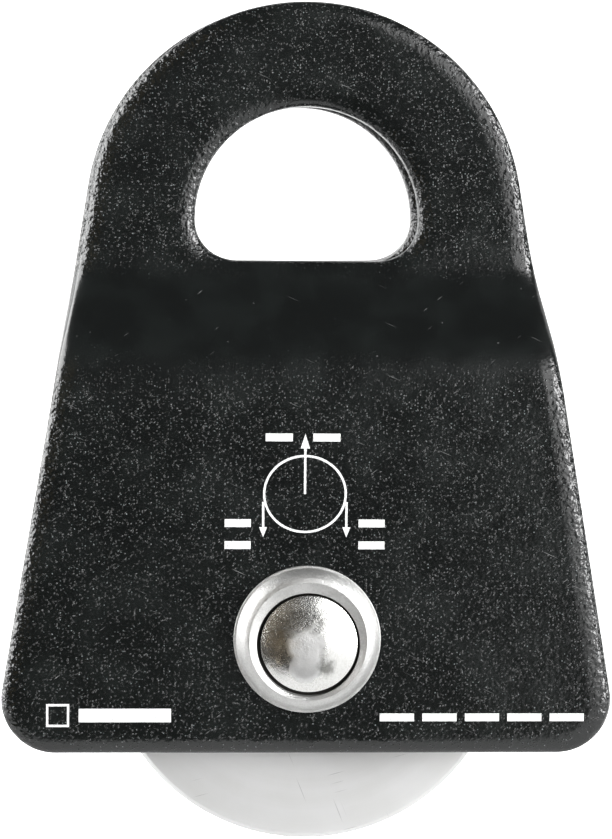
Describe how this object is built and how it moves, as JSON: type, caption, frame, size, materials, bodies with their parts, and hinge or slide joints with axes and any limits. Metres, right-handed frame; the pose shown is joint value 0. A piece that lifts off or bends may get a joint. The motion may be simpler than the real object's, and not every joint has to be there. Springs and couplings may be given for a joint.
{
  "type": "single sheave block",
  "caption": "Single sheave block with two stepped side plates that swing on the axle, a carabiner eye at the top and a ball-bearing sheave grooved for rope.",
  "frame": {"origin": "centre of the front plate's carabiner eye, midway between the two side plates", "axes": "+Z from the axle up to the eye, +Y along the axle towards the rear plate, +X to the right seen from the front; the printed front plate faces -Y"},
  "size_m": [0.0587, 0.0242, 0.0811],
  "materials": {
    "plate_coat": "formed aluminium sheet with a black, finely textured coating",
    "sheave_metal": "turned aluminium, fine machining lines",
    "spring_steel": "dark spring steel",
    "bearing_steel": "ground bearing steel",
    "ball_steel": "polished bearing steel",
    "seal_rubber": "black seal",
    "cage_nylon": "moulded nylon",
    "spacer_steel": "turned steel",
    "washer_plastic": "low friction plastic",
    "bush_steel": "satin turned stainless steel",
    "rivet_steel": "polished stainless steel, formed heads",
    "print_ink": "white printed ink"
  },
  "bodies": {
    "front_cheek": {"front_side_plate": "plate_coat", "load_diagram_print": "print_ink", "load_bars_print": "print_ink", "lower_bars_print": "print_ink"},
    "axle_stack": {"axle_rivet": "rivet_steel", "front_flange_bush": "bush_steel", "rear_flange_bush": "bush_steel", "front_hub_spacer": "spacer_steel", "rear_hub_spacer": "spacer_steel", "bearing_inner_race": "bearing_steel", "front_thrust_washer": "washer_plastic", "rear_thrust_washer": "washer_plastic"},
    "sheave_wheel": {"sheave": "sheave_metal", "bearing_outer_race": "bearing_steel", "bearing_snap_ring": "spring_steel", "front_bearing_seal": "seal_rubber", "rear_bearing_seal": "seal_rubber"},
    "ball_train": {"bearing_balls": "ball_steel", "bearing_cage": "cage_nylon"},
    "rear_cheek": {"rear_side_plate": "plate_coat"}
  },
  "joints": [
    {"name": "front_plate_swing", "type": "hinge", "parent": "front_cheek", "child": "axle_stack", "pos_m": [0, 0, -0.0405], "axis": [0, 1, 0], "continuous": true},
    {"name": "rear_plate_swing", "type": "hinge", "parent": "axle_stack", "child": "rear_cheek", "pos_m": [0, 0, -0.0405], "axis": [0, 1, 0], "continuous": true},
    {"name": "sheave_spin", "type": "hinge", "parent": "axle_stack", "child": "sheave_wheel", "pos_m": [0, 0, -0.0405], "axis": [0, 1, 0], "continuous": true},
    {"name": "ball_train_spin", "type": "hinge", "parent": "axle_stack", "child": "ball_train", "pos_m": [0, 0, -0.0405], "axis": [0, 1, 0], "continuous": true}
  ],
  "couplings": [
    {"joint": "ball_train_spin", "follows": "sheave_spin", "ratio": 0.6174}
  ]
}
